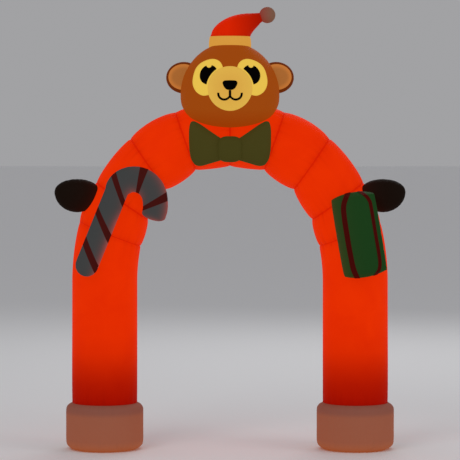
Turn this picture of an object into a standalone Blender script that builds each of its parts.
"""Walk-through inflatable arch.

It carries an animal's head in a hat, a bow tie, two paws, a candy cane and a gift box.
Metres, +Z up, the front faces -Y. The origin is on the ground, in the middle of the object's plan box.
Left and right are as seen from the front. Every piece is closed and has the shape it takes when blown up.
"""

import math

import bmesh
import bpy
from mathutils import Matrix, Vector

for old in list(bpy.data.objects):
    bpy.data.objects.remove(old)

# ---------------------------------------------------------------- driving dimensions
ARCH_Y = 0.109  # the plane of the arch tube, behind the origin
SEAM_GAP = 0.0004  # between two panels that share a seam
SEWN_GAP = 0.0007  # between a piece and the one that it is sewn onto
PATCH_THICK = 0.0022  # a sewn-on patch of cloth

# Seams of the arch tube on its right half, from the crown down to the top of the leg.
# outer and inner are the tube's edges in the plane of the arch, as (x, z); depth is half its depth there.
SEAMS = (
    {"outer": (0.000, 2.334), "inner": (0.000, 1.923), "depth": 0.204},
    {"outer": (0.368, 2.284), "inner": (0.232, 1.896), "depth": 0.206},
    {"outer": (0.671, 2.109), "inner": (0.432, 1.764), "depth": 0.209},
    {"outer": (0.903, 1.812), "inner": (0.556, 1.562), "depth": 0.212},
    {"outer": (1.019, 1.545), "inner": (0.608, 1.380), "depth": 0.214},
)
# How far each panel swells past the straight lines between its two seams.
PANELS = (
    {"name": "crown_panel", "outer": 0.024, "inner": 0.004, "depth": 0.013},
    {"name": "shoulder_panel", "outer": 0.027, "inner": 0.014, "depth": 0.011},
    {"name": "elbow_panel", "outer": 0.017, "inner": 0.011, "depth": 0.008},
    {"name": "hip_panel", "outer": 0.006, "inner": 0.009, "depth": 0.006},
)
PANEL_STEPS = 4
TUBE_SIDES = 24

TUBE_R = 0.218
LEG_X = 0.852
LEG_BEND_Z = 1.13  # above this the leg leans in towards its first seam
LEG_STEPS = 4
LEG_BOTTOM = 0.3154
TURNED_STEPS = 28
# Profile of the padded foot cuff from its join with the leg down to its flat sole, as (radius, z).
FOOT_PROFILE = (
    (TUBE_R, 0.315),
    (0.242, 0.306),
    (0.255, 0.287),
    (0.259, 0.262),
    (0.259, 0.062),
    (0.252, 0.032),
    (0.233, 0.010),
    (0.205, 0.000),
)

HEAD = Vector((0.0, ARCH_Y - 0.12, 2.400))  # at the level where the head is widest
HEAD_HALF_WIDTH = 0.329
HEAD_HALF_DEPTH = 0.300
HEAD_UP = 0.354
HEAD_DOWN = 0.217
HEAD_POWER_UP = 2.0  # superellipse powers: the jaw is fuller than the crown
HEAD_POWER_DOWN = 2.45
HEAD_MESH = (28, 14)  # faces round the head, and from its top to its bottom

EAR = Vector((0.309, HEAD.y + 0.015, 2.516))
EAR_RADII = Vector((0.119, 0.048, 0.105))
EAR_MESH = (20, 8)
EAR_LINING = {"x": 0.3115, "z": 2.520, "half_width": 0.100, "half_height": 0.085}

MUZZLE = Vector((0.0, ARCH_Y - 0.375, 2.437))
MUZZLE_RADII = Vector((0.150, 0.100, 0.150))
MUZZLE_MESH = (24, 12)

# Outline of the left eye patch, as (x, z). Its inner end goes under the muzzle.
EYE_PATCH_OUTLINE = (
    (-0.120, 2.634),
    (-0.184, 2.613),
    (-0.226, 2.570),
    (-0.2455, 2.500),
    (-0.240, 2.449),
    (-0.212, 2.409),
    (-0.165, 2.392),
    (-0.100, 2.420),
    (-0.055, 2.500),
    (-0.047, 2.575),
    (-0.072, 2.620),
)
EYE = {"x": -0.1395, "z": 2.532, "half_width": 0.0535, "half_height": 0.0620, "lean": 25.0}
EYE_GLINT = {"x": -0.1367, "z": 2.592, "radius": 0.0175}
EYE_TO_MUZZLE = 0.006
# Left half of the nose's outline from the top down, as (x, z).
NOSE_HALF_OUTLINE = (
    (-0.014, 2.488),
    (-0.0335, 2.485),
    (-0.0425, 2.473),
    (-0.034, 2.449),
    (-0.016, 2.433),
)
MOUTH_ARC = {"x": 0.0375, "z": 2.405, "radius": 0.039, "outer_end": 172.0, "inner_end": 325.0}
MOUTH_HALF_LINE = 0.0048
MOUTH_STEPS = 8
LIP_TOP = 2.4298  # the upright line runs from just under the nose down to where the two arcs meet
LIP_HALF_LINE = 0.0075

HAT_Y = HEAD.y + 0.04  # the hat sits a little behind the crown
# Profile of the hat's band, as (radius, z) from the top. Its lower end is cut to the crown of the head.
BAND_PROFILE = ((0.1335, 2.793), (0.1375, 2.775), (0.1400, 2.745), (0.1405, 2.660))
# Sections of the hat's horn from its base to its tip: its two edges seen from the front, and half its depth.
HORN_SECTIONS = (
    {"left": (-0.1310, 2.7938), "right": (0.1345, 2.7938), "depth": 0.132},
    {"left": (-0.1146, 2.8353), "right": (0.1427, 2.8112), "depth": 0.129},
    {"left": (-0.0871, 2.8695), "right": (0.1521, 2.8266), "depth": 0.122},
    {"left": (-0.0469, 2.8996), "right": (0.1635, 2.8414), "depth": 0.111},
    {"left": (0.0067, 2.9251), "right": (0.1769, 2.8568), "depth": 0.095},
    {"left": (0.0670, 2.9405), "right": (0.1903, 2.8709), "depth": 0.075},
    {"left": (0.1340, 2.9472), "right": (0.2044, 2.8836), "depth": 0.053},
    {"left": (0.2030, 2.9519), "right": (0.2171, 2.8930), "depth": 0.031},
)
HORN_SIDES = 20
POMPOM = Vector((0.2507, HAT_Y, 2.937))
POMPOM_R = 0.054
POMPOM_MESH = (16, 8)

BOW_Y = ARCH_Y - 0.245
# Sections of the bow tie's right lobe from under the knot outwards: its top and bottom, and half its depth.
BOW_SECTIONS = (
    {"x": 0.050, "top": 2.106, "bottom": 1.965, "depth": 0.034},
    {"x": 0.075, "top": 2.120, "bottom": 1.958, "depth": 0.040},
    {"x": 0.130, "top": 2.157, "bottom": 1.942, "depth": 0.052},
    {"x": 0.187, "top": 2.197, "bottom": 1.926, "depth": 0.055},
    {"x": 0.224, "top": 2.218, "bottom": 1.929, "depth": 0.050},
    {"x": 0.242, "top": 2.224, "bottom": 1.944, "depth": 0.042},
    {"x": 0.260, "top": 2.218, "bottom": 1.975, "depth": 0.029},
    {"x": 0.270, "top": 2.192, "bottom": 2.025, "depth": 0.016},
    {"x": 0.274, "top": 2.152, "bottom": 2.085, "depth": 0.006},
)
BOW_SIDES = 16
KNOT = Vector((0.0, BOW_Y - 0.012, 2.0375))
KNOT_RADII = Vector((0.078, 0.060, 0.086))
KNOT_POWER = 3.2
KNOT_MESH = (16, 10)

PAW = Vector((1.022, ARCH_Y - 0.085, 1.750))  # at the level of its tip
PAW_HALF_LENGTH = 0.160
PAW_HALF_DEPTH = 0.095
PAW_UP = 0.084
PAW_DOWN = 0.138
PAW_MESH = (16, 10)

# Candy cane: a fat tube along a straight shaft and a hook, flattened from front to back.
CANE_Y = ARCH_Y - 0.262
CANE_FLATNESS = 0.74
CANE_FOOT = Vector((-0.954, 1.268))
CANE_SHAFT_R = 0.0765
CANE_HOOK = Vector((-0.643, 1.694))
# The line of the hook: degrees round its centre from +X, distance from the centre, radius of the tube.
CANE_HOOK_STEPS = (
    {"turn": 157.8, "reach": 0.1280, "tube": 0.0765},
    {"turn": 138.0, "reach": 0.1360, "tube": 0.0825},
    {"turn": 118.0, "reach": 0.1395, "tube": 0.0850},
    {"turn": 98.0, "reach": 0.1420, "tube": 0.0850},
    {"turn": 78.0, "reach": 0.1430, "tube": 0.0860},
    {"turn": 58.0, "reach": 0.1430, "tube": 0.0860},
    {"turn": 38.0, "reach": 0.1430, "tube": 0.0855},
    {"turn": 18.0, "reach": 0.1430, "tube": 0.0845},
    {"turn": -4.0, "reach": 0.1455, "tube": 0.0835},
    {"turn": -22.0, "reach": 0.1550, "tube": 0.0825},
    {"turn": -36.0, "reach": 0.1655, "tube": 0.0805},
)
CANE_FOOT_CAP = 0.081  # how far the rounded ends reach past the two ends of the line
CANE_HOOK_CAP = 0.034
CAP_END_TURN = 82.0  # how far round its quarter ellipse a rounded end goes, in degrees
CAP_STEPS = 4
SHAFT_STEPS = 4

# Gift box: half sizes before it leans, and how far its faces swell in the middle.
GIFT = Vector((0.860, ARCH_Y - 0.272, 1.467))
GIFT_HALF = Vector((0.140, 0.078, 0.2575))
GIFT_SWELL = Vector((0.004, 0.036, 0.027))
GIFT_LEAN = -9.8  # degrees about Y
GIFT_CUTS = 4
# Line of each ribbon across the box's front, from the box's middle before it leans, and half its width.
RIBBONS = {
    "gift_ribbon_left": (
        {"x": -0.008, "z": 0.310, "half": 0.013},
        {"x": -0.042, "z": 0.268, "half": 0.016},
        {"x": -0.070, "z": 0.217, "half": 0.017},
        {"x": -0.081, "z": 0.143, "half": 0.017},
        {"x": -0.084, "z": -0.036, "half": 0.017},
        {"x": -0.082, "z": -0.148, "half": 0.017},
        {"x": -0.079, "z": -0.209, "half": 0.018},
        {"x": -0.066, "z": -0.266, "half": 0.017},
        {"x": -0.044, "z": -0.315, "half": 0.013},
    ),
    "gift_ribbon_right": (
        {"x": 0.022, "z": 0.315, "half": 0.009},
        {"x": 0.076, "z": 0.262, "half": 0.011},
        {"x": 0.099, "z": 0.224, "half": 0.0115},
        {"x": 0.106, "z": 0.180, "half": 0.0115},
        {"x": 0.105, "z": 0.000, "half": 0.0115},
        {"x": 0.1045, "z": -0.170, "half": 0.0115},
        {"x": 0.094, "z": -0.236, "half": 0.0115},
        {"x": 0.073, "z": -0.268, "half": 0.011},
        {"x": 0.040, "z": -0.315, "half": 0.009},
    ),
}

# Base colour and roughness of each cloth.
CLOTHS = {
    "red_cloth": ((0.800, 0.045, 0.010), 0.55),
    "white_cloth": ((0.620, 0.580, 0.540), 0.60),
    "brown_cloth": ((0.330, 0.075, 0.012), 0.60),
    "tan_cloth": ((0.680, 0.400, 0.075), 0.60),
    "yellow_cloth": ((0.780, 0.550, 0.100), 0.60),
    "green_cloth": ((0.020, 0.090, 0.022), 0.55),
    "olive_cloth": ((0.055, 0.060, 0.012), 0.60),
    "ribbon_cloth": ((0.110, 0.006, 0.006), 0.50),
    "black_cloth": ((0.008, 0.006, 0.005), 0.60),
    "dark_brown_cloth": ((0.020, 0.010, 0.007), 0.65),
}

SIDES = {"left": -1.0, "right": 1.0}
SHARP_ANGLE = 40.0  # degrees: a seam sharper than this shows as an edge
WELD = 0.0001  # points of one skin this close are one point
CUTTER_REACH = 0.05  # how far a flat cutter stands in front of the cloth that it cuts


# ---------------------------------------------------------------- materials and objects
def new_collection(name):
    made = bpy.data.collections.new(name)
    bpy.context.scene.collection.children.link(made)
    return made


PARTS = new_collection("inflatable_arch")
CUTTERS = new_collection("cutters")


def cloth(name):
    """The material of one cloth, made the first time that it is asked for."""
    found = bpy.data.materials.get(name)
    if found:
        return found
    colour, roughness = CLOTHS[name]
    made = bpy.data.materials.new(name)
    made.use_nodes = True
    shader = made.node_tree.nodes["Principled BSDF"]
    shader.inputs["Base Color"].default_value = (*colour, 1.0)
    shader.inputs["Roughness"].default_value = roughness
    shader.inputs["Metallic"].default_value = 0.0
    return made


def placed(x=0.0, y=0.0, z=0.0, lean=0.0):
    """Where a piece stands: its middle, and its lean about Y in degrees."""
    return Matrix.Translation((x, y, z)) @ Matrix.Rotation(math.radians(lean), 4, "Y")


def part(name, mesh, finish, where=None):
    """A piece of the arch, in its cloth."""
    obj = bpy.data.objects.new(name, mesh)
    obj.matrix_world = where or Matrix()
    mesh.materials.append(cloth(finish))
    mesh.shade_smooth()
    mesh.set_sharp_from_angle(angle=math.radians(SHARP_ANGLE))
    PARTS.objects.link(obj)
    return obj


def cutter(name, mesh, where=None):
    obj = bpy.data.objects.new(name, mesh)
    obj.matrix_world = where or Matrix()
    obj.hide_render = True
    obj.display_type = "WIRE"
    CUTTERS.objects.link(obj)
    return obj


def cut(obj, *tools, operation="DIFFERENCE"):
    for tool in tools:
        modifier = obj.modifiers.new(operation.lower() + "_" + tool.name, "BOOLEAN")
        modifier.operation = operation
        modifier.object = tool
    return obj


# ---------------------------------------------------------------- shapes
def finished(bm, name):
    """The mesh, in triangles split the same way in a shape and in its grown copy."""
    bmesh.ops.triangulate(bm, faces=bm.faces, quad_method="SHORT_EDGE")
    bmesh.ops.recalc_face_normals(bm, faces=bm.faces)
    mesh = bpy.data.meshes.new(name)
    bm.to_mesh(mesh)
    bm.free()
    return mesh


def mix(a, b, t):
    return a + (b - a) * t


def loft(name, rings):
    """A skin over rings of points, closed by a flat cap at each end."""
    bm = bmesh.new()
    rows = [[bm.verts.new(point) for point in ring] for ring in rings]
    for low, high in zip(rows, rows[1:]):
        for k in range(len(low)):
            bm.faces.new((low[k - 1], low[k], high[k], high[k - 1]))
    bm.faces.new(rows[0])
    bm.faces.new(rows[-1])
    return finished(bm, name)


def ring_between(first, second, depth, y, sides):
    """An ellipse whose edges in the X-Z plane are first and second, with this half depth along Y."""
    middle = (first + second) / 2
    reach = (first - second) / 2
    ring = []
    for k in range(sides):
        turn = 2 * math.pi * k / sides
        edge = middle + reach * math.cos(turn)
        ring.append(Vector((edge.x, y + depth * math.sin(turn), edge.y)))
    return ring


def ball(name, radii, faces, power=2.0, grow=0.0):
    """A ball of these half sizes about the origin, or with a power over 2 a box with round corners."""
    bm = bmesh.new()
    bmesh.ops.create_uvsphere(bm, u_segments=faces[0], v_segments=faces[1], radius=1.0)
    for vert in bm.verts:
        out = sum(abs(c) ** power for c in vert.co) ** (-1.0 / power)
        vert.co = Vector(c * out * (r + grow) for c, r in zip(vert.co, radii))
    return finished(bm, name)


def turned(name, profile, finish, where):
    """A piece turned about a vertical axis, whose profile runs down from its top."""
    closed = [(0.0, profile[0][1]), *profile, (0.0, profile[-1][1])]
    bm = bmesh.new()
    verts = [bm.verts.new((radius, 0.0, z)) for radius, z in closed]
    for pair in zip(verts, verts[1:]):
        bm.edges.new(pair)
    mesh = bpy.data.meshes.new(name)
    bm.to_mesh(mesh)
    bm.free()
    obj = part(name, mesh, finish, where)
    screw = obj.modifiers.new("turn", "SCREW")
    screw.steps = TURNED_STEPS
    screw.render_steps = TURNED_STEPS
    screw.use_merge_vertices = True
    screw.merge_threshold = WELD
    return obj


def mesh_of_curve(curve, move):
    """The curve's welded mesh, moved by a matrix."""
    obj = bpy.data.objects.new(curve.name, curve)
    CUTTERS.objects.link(obj)
    bpy.context.view_layer.update()
    graph = bpy.context.evaluated_depsgraph_get()
    loose = bpy.data.meshes.new_from_object(obj.evaluated_get(graph))
    bpy.data.objects.remove(obj)
    bm = bmesh.new()
    bm.from_mesh(loose)
    bpy.data.meshes.remove(loose)
    bmesh.ops.remove_doubles(bm, verts=bm.verts, dist=WELD / 2)
    bm.transform(move)
    return finished(bm, curve.name)


def plate(name, points, front, back, smooth=True):
    """A plate between y = front and y = back, with an outline in the X-Z plane through the points."""
    curve = bpy.data.curves.new(name, "CURVE")
    curve.dimensions = "2D"
    curve.fill_mode = "BOTH"
    curve.extrude = (back - front) / 2
    curve.resolution_u = 3
    spline = curve.splines.new("BEZIER" if smooth else "POLY")
    knots = spline.bezier_points if smooth else spline.points
    knots.add(len(points) - 1)
    for knot, (x, z) in zip(knots, points):
        if smooth:
            knot.co = (x, z, 0.0)
            knot.handle_left_type = "AUTO"
            knot.handle_right_type = "AUTO"
        else:
            knot.co = (x, z, 0.0, 1.0)
    spline.use_cyclic_u = True
    stand_up = Matrix.Rotation(math.pi / 2, 4, "X")
    return mesh_of_curve(curve, Matrix.Translation((0.0, (front + back) / 2, 0.0)) @ stand_up)


def ellipse(x, z, half_width, half_height, lean=0.0, count=20):
    """Points of an ellipse in the X-Z plane, its top leaning towards +X by lean degrees."""
    turn = math.radians(lean)
    points = []
    for k in range(count):
        angle = 2 * math.pi * k / count
        across = half_width * math.cos(angle)
        up = half_height * math.sin(angle)
        points.append((
            x + across * math.cos(turn) + up * math.sin(turn),
            z - across * math.sin(turn) + up * math.cos(turn),
        ))
    return points


def stroke(line):
    """The outline of a drawn line, from its points and its half width at each."""
    near, far = [], []
    for k, (x, z, half) in enumerate(line):
        before = line[max(k - 1, 0)]
        after = line[min(k + 1, len(line) - 1)]
        along = Vector((after[0] - before[0], after[1] - before[1])).normalized()
        near.append((x - along.y * half, z + along.x * half))
        far.append((x + along.y * half, z - along.x * half))
    return near + far[::-1]


def about(outline, centre, side=-1.0):
    """An outline of the left side, measured from a centre. With side 1 it is mirrored to the right."""
    return [(-side * x - centre.x, z - centre.z) for x, z in outline]


def patch(name, finish, outline, base, where, layer=0, smooth=True):
    """A patch of cloth on the front of a base, cut to an outline. layer counts the patches that lie under it.

    base(name, grow) makes the mesh of the base, grown all round.
    """
    lift = SEWN_GAP + layer * (PATCH_THICK + SEWN_GAP)
    below = cutter(name + "_below", base(name + "_below", lift), where)
    above = cutter(name + "_above", base(name + "_above", lift + PATCH_THICK), where)
    front = min(vert.co.y for vert in above.data.vertices) - CUTTER_REACH
    obj = part(name, plate(name, outline, front, 0.0, smooth), finish, where)
    cut(obj, above, operation="INTERSECT")
    return cut(obj, below)


# ---------------------------------------------------------------- arch tube and feet
def panel_section(index, t):
    """The tube a share t of the way along a panel: its outer edge, inner edge and half depth."""
    above, below, swell = SEAMS[index], SEAMS[index + 1], PANELS[index]
    outers = Vector(above["outer"]), Vector(below["outer"])
    inners = Vector(above["inner"]), Vector(below["inner"])
    across = (outers[0] + outers[1] - inners[0] - inners[1]).normalized()
    hump = 4 * t * (1 - t)
    outer = mix(*outers, t) + across * swell["outer"] * hump
    inner = mix(*inners, t) - across * swell["inner"] * hump
    return outer, inner, mix(above["depth"], below["depth"], t) + swell["depth"] * hump


def leg_section(t):
    """The leaning top of a leg, t from its seam down to its bend."""
    seam = SEAMS[-1]
    lean = (1 - t) ** 2
    edges = []
    for edge, straight_x in (("outer", LEG_X + TUBE_R), ("inner", LEG_X - TUBE_R)):
        x, z = seam[edge]
        edges.append(Vector((mix(straight_x, x, lean), mix(z, LEG_BEND_Z, t))))
    return *edges, mix(TUBE_R, seam["depth"], lean)


def panel_sections(index):
    return [panel_section(index, k / PANEL_STEPS) for k in range(PANEL_STEPS + 1)]


def leg_sections():
    leaning = [leg_section(k / LEG_STEPS) for k in range(LEG_STEPS + 1)]
    bottom = (Vector((LEG_X + TUBE_R, LEG_BOTTOM)), Vector((LEG_X - TUBE_R, LEG_BOTTOM)), TUBE_R)
    return [*leaning, bottom]


def drawn_in(sections):
    """The same stretch of tube with each end drawn in by half the gap of a seam."""
    out = list(sections)
    for end, beside in ((0, 1), (-1, -2)):
        outer, inner, depth = out[end]
        along = (out[beside][0] + out[beside][1] - outer - inner).normalized() * SEAM_GAP / 2
        out[end] = (outer + along, inner + along, depth)
    return out


def tube_rings(sections, side, grow=0.0):
    """Rings round a stretch of tube, on one side of the arch."""
    flip = Vector((side, 1.0))
    rings = []
    for outer, inner, depth in sections:
        away = (outer - inner).normalized() * grow
        edges = (outer + away) * flip, (inner - away) * flip
        rings.append(ring_between(*edges, depth + grow, ARCH_Y, TUBE_SIDES))
    return rings


def arch_cutter():
    """The whole tube in one, a sewing gap fatter than its panels."""
    half = leg_sections()
    for index in reversed(range(len(PANELS))):
        half = panel_sections(index)[:-1] + half
    left = tube_rings(half, SIDES["left"], SEWN_GAP)
    right = tube_rings(half, SIDES["right"], SEWN_GAP)
    return cutter("arch_cutter", loft("arch_cutter", left[:0:-1] + right))


def make_tube():
    for side_name, side in SIDES.items():
        for index, panel in enumerate(PANELS):
            name = panel["name"] + "_" + side_name
            part(name, loft(name, tube_rings(drawn_in(panel_sections(index)), side)), "red_cloth")
        name = "leg_" + side_name
        part(name, loft(name, tube_rings(drawn_in(leg_sections()), side)), "red_cloth")
        turned("foot_cuff_" + side_name, FOOT_PROFILE, "white_cloth", placed(side * LEG_X, ARCH_Y))


# ---------------------------------------------------------------- head
def head_mesh(name, grow=0.0):
    """The head about its own middle: superellipses from top to bottom, ellipses round."""
    bm = bmesh.new()
    bmesh.ops.create_uvsphere(bm, u_segments=HEAD_MESH[0], v_segments=HEAD_MESH[1], radius=1.0)
    for vert in bm.verts:
        power, reach = (HEAD_POWER_UP, HEAD_UP) if vert.co.z > 0 else (HEAD_POWER_DOWN, -HEAD_DOWN)
        around = Vector((vert.co.x, vert.co.y))
        spread = around.normalized() * around.length ** (2 / power)
        level = abs(vert.co.z) ** (2 / power)
        vert.co = (
            spread.x * (HEAD_HALF_WIDTH + grow),
            spread.y * (HEAD_HALF_DEPTH + grow),
            level * (reach + math.copysign(grow, reach)),
        )
    return finished(bm, name)


def ear_mesh(name, grow=0.0):
    return ball(name, EAR_RADII, EAR_MESH, grow=grow)


def muzzle_mesh(name, grow=0.0):
    return ball(name, MUZZLE_RADII, MUZZLE_MESH, grow=grow)


def make_ears(head_tool):
    for side_name, side in SIDES.items():
        where = placed(side * EAR.x, EAR.y, EAR.z)
        cut(part("ear_" + side_name, ear_mesh("ear_" + side_name), "brown_cloth", where), head_tool)
        outline = ellipse(
            side * (EAR_LINING["x"] - EAR.x),
            EAR_LINING["z"] - EAR.z,
            EAR_LINING["half_width"],
            EAR_LINING["half_height"],
        )
        cut(patch("ear_lining_" + side_name, "tan_cloth", outline, ear_mesh, where, smooth=False), head_tool)


def make_eyes(muzzle_tool):
    where = placed(*HEAD)
    front = -HEAD_HALF_DEPTH - CUTTER_REACH
    rim_radius = MUZZLE_RADII.x + EYE_TO_MUZZLE
    rim_points = ellipse(0.0, MUZZLE.z - HEAD.z, rim_radius, rim_radius, count=36)
    rim = cutter("muzzle_rim", plate("muzzle_rim", rim_points, front, 0.0, smooth=False), where)
    eye_points = ellipse(*(EYE[key] for key in ("x", "z", "half_width", "half_height", "lean")), count=28)
    glint_points = ellipse(*(EYE_GLINT[key] for key in ("x", "z", "radius", "radius")), count=16)
    for side_name, side in SIDES.items():
        outline = about(EYE_PATCH_OUTLINE, HEAD, side)
        cut(patch("eye_patch_" + side_name, "yellow_cloth", outline, head_mesh, where), muzzle_tool)
        outline = about(eye_points, HEAD, side)
        eye = patch("eye_" + side_name, "black_cloth", outline, head_mesh, where, layer=1, smooth=False)
        glint = plate("glint_" + side_name, about(glint_points, HEAD, side), front, 0.0, smooth=False)
        cut(eye, cutter("glint_" + side_name, glint, where), rim)


def make_nose():
    left = about(NOSE_HALF_OUTLINE, MUZZLE)
    right = [(-x, z) for x, z in reversed(left)]
    patch("nose", "black_cloth", left + right, muzzle_mesh, placed(*MUZZLE))


def make_mouth():
    """Two arcs that meet under the nose, and the upright line that joins them to it."""
    where = placed(*MUZZLE)
    arc = []
    for k in range(MOUTH_STEPS + 1):
        turn = math.radians(mix(MOUTH_ARC["outer_end"], MOUTH_ARC["inner_end"], k / MOUTH_STEPS))
        x = MOUTH_ARC["radius"] * math.cos(turn) - MOUTH_ARC["x"]
        z = MOUTH_ARC["radius"] * math.sin(turn) + MOUTH_ARC["z"] - MUZZLE.z
        arc.append((x, z, MOUTH_HALF_LINE))
    both_arcs = arc + [(-x, z, half) for x, z, half in reversed(arc)]
    mouth = patch("mouth", "black_cloth", stroke(both_arcs), muzzle_mesh, where, smooth=False)
    upright = [(0.0, LIP_TOP - MUZZLE.z, LIP_HALF_LINE), (0.0, arc[-1][1], LIP_HALF_LINE)]
    front = -MUZZLE_RADII.y - CUTTER_REACH
    lip = cutter("lip", plate("lip", stroke(upright), front, 0.0, smooth=False), where)
    cut(mouth, lip, operation="UNION")
    mouth.modifiers.move(len(mouth.modifiers) - 1, 0)  # the line is joined on before the muzzle cuts it


def make_head(arch_tool):
    """The head and all that is on it, apart from the hat. Returns its cutter."""
    where = placed(*HEAD)
    head_tool = cutter("head_cutter", head_mesh("head_cutter", SEWN_GAP), where)
    muzzle_tool = cutter("muzzle_cutter", muzzle_mesh("muzzle_cutter", SEWN_GAP), placed(*MUZZLE))
    cut(part("head", head_mesh("head"), "brown_cloth", where), arch_tool)
    cut(part("muzzle", muzzle_mesh("muzzle"), "tan_cloth", placed(*MUZZLE)), head_tool)
    make_ears(head_tool)
    make_eyes(muzzle_tool)
    make_nose()
    make_mouth()
    return head_tool


# ---------------------------------------------------------------- hat
def make_hat(head_tool):
    cut(turned("hat_band", BAND_PROFILE, "tan_cloth", placed(HEAD.x, HAT_Y)), head_tool)
    rings = []
    for row in HORN_SECTIONS:
        edges = Vector(row["left"]), Vector(row["right"])
        rings.append(ring_between(*edges, row["depth"], HAT_Y, HORN_SIDES))
    radii = (POMPOM_R, POMPOM_R, POMPOM_R)
    grown = ball("pompom_cutter", radii, POMPOM_MESH, grow=SEWN_GAP)
    tool = cutter("pompom_cutter", grown, placed(*POMPOM))
    cut(part("hat_horn", loft("hat_horn", rings), "red_cloth"), tool)
    part("hat_pompom", ball("hat_pompom", radii, POMPOM_MESH), "white_cloth", placed(*POMPOM))


# ---------------------------------------------------------------- bow tie and paws
def knot_mesh(name, grow=0.0):
    return ball(name, KNOT_RADII, KNOT_MESH, KNOT_POWER, grow)


def make_bow_tie(arch_tool, head_tool):
    tool = cutter("knot_cutter", knot_mesh("knot_cutter", SEWN_GAP), placed(*KNOT))
    for side_name, side in SIDES.items():
        rings = []
        for row in BOW_SECTIONS:
            top = Vector((side * row["x"], row["top"]))
            bottom = Vector((side * row["x"], row["bottom"]))
            rings.append(ring_between(top, bottom, row["depth"], BOW_Y, BOW_SIDES))
        name = "bow_lobe_" + side_name
        cut(part(name, loft(name, rings), "olive_cloth"), tool, arch_tool, head_tool)
    cut(part("bow_knot", knot_mesh("bow_knot"), "olive_cloth", placed(*KNOT)), arch_tool)


def paw_mesh(name):
    """The paw about its tip's level: a ball that is deeper below than above."""
    mesh = ball(name, (PAW_HALF_LENGTH, PAW_HALF_DEPTH, 1.0), PAW_MESH)
    for vert in mesh.vertices:
        vert.co.z *= PAW_UP if vert.co.z > 0 else PAW_DOWN
    return mesh


def make_paws(arch_tool):
    for side_name, side in SIDES.items():
        name = "paw_" + side_name
        where = placed(side * PAW.x, PAW.y, PAW.z)
        cut(part(name, paw_mesh(name), "dark_brown_cloth", where), arch_tool)


# ---------------------------------------------------------------- candy cane
def rounded_end(end, beside, reach):
    """Points past an end of a line, the radius closing like a quarter of an ellipse."""
    out = (end[0] - beside[0]).normalized()
    points = []
    for k in range(1, CAP_STEPS + 1):
        turn = math.radians(CAP_END_TURN) * k / CAP_STEPS
        points.append((end[0] + out * reach * math.sin(turn), end[1] * math.cos(turn)))
    return points


def cane_line():
    """Points along the cane, each with the tube's radius there, from its foot to the end of its hook."""
    hook = []
    for row in CANE_HOOK_STEPS:
        turn = math.radians(row["turn"])
        spoke = Vector((math.cos(turn), math.sin(turn)))
        hook.append((CANE_HOOK + spoke * row["reach"], row["tube"]))
    shaft = [(mix(CANE_FOOT, hook[0][0], k / SHAFT_STEPS), CANE_SHAFT_R) for k in range(SHAFT_STEPS)]
    foot_cap = rounded_end(shaft[0], shaft[1], CANE_FOOT_CAP)
    hook_cap = rounded_end(hook[-1], hook[-2], CANE_HOOK_CAP)
    return foot_cap[::-1] + shaft + hook + hook_cap


def make_cane(arch_tool):
    curve = bpy.data.curves.new("candy_cane", "CURVE")
    curve.dimensions = "3D"
    curve.bevel_depth = 1.0
    curve.bevel_resolution = 4
    curve.use_fill_caps = True
    line = cane_line()
    spline = curve.splines.new("POLY")
    spline.points.add(len(line) - 1)
    for knot, (centre, radius) in zip(spline.points, line):
        knot.co = (centre.x, 0.0, centre.y, 1.0)
        knot.radius = radius
    flat = Matrix.Diagonal((1.0, CANE_FLATNESS, 1.0, 1.0))
    cut(part("candy_cane", mesh_of_curve(curve, flat), "white_cloth", placed(y=CANE_Y)), arch_tool)


# ---------------------------------------------------------------- gift box
def gift_mesh(name, grow=0.0):
    """The box about its own middle, each face swelling most in its middle."""
    bm = bmesh.new()
    bmesh.ops.create_cube(bm, size=2.0)
    bmesh.ops.subdivide_edges(bm, edges=bm.edges, cuts=GIFT_CUTS, use_grid_fill=True)
    for vert in bm.verts:
        flat = vert.co.copy()
        room = [1 - c * c for c in flat]
        swell = (room[1] * room[2], room[0] * room[2], room[0] * room[1])
        for axis in range(3):
            vert.co[axis] = flat[axis] * (GIFT_HALF[axis] + GIFT_SWELL[axis] * swell[axis] + grow)
    return finished(bm, name)


def make_gift(arch_tool):
    where = placed(*GIFT, lean=GIFT_LEAN)
    cut(part("gift_box", gift_mesh("gift_box"), "green_cloth", where), arch_tool)
    for name, rows in RIBBONS.items():
        line = [(row["x"], row["z"], row["half"]) for row in rows]
        cut(patch(name, "ribbon_cloth", stroke(line), gift_mesh, where), arch_tool)


make_tube()
whole_arch = arch_cutter()
whole_head = make_head(whole_arch)
make_hat(whole_head)
make_bow_tie(whole_arch, whole_head)
make_paws(whole_arch)
make_cane(whole_arch)
make_gift(whole_arch)
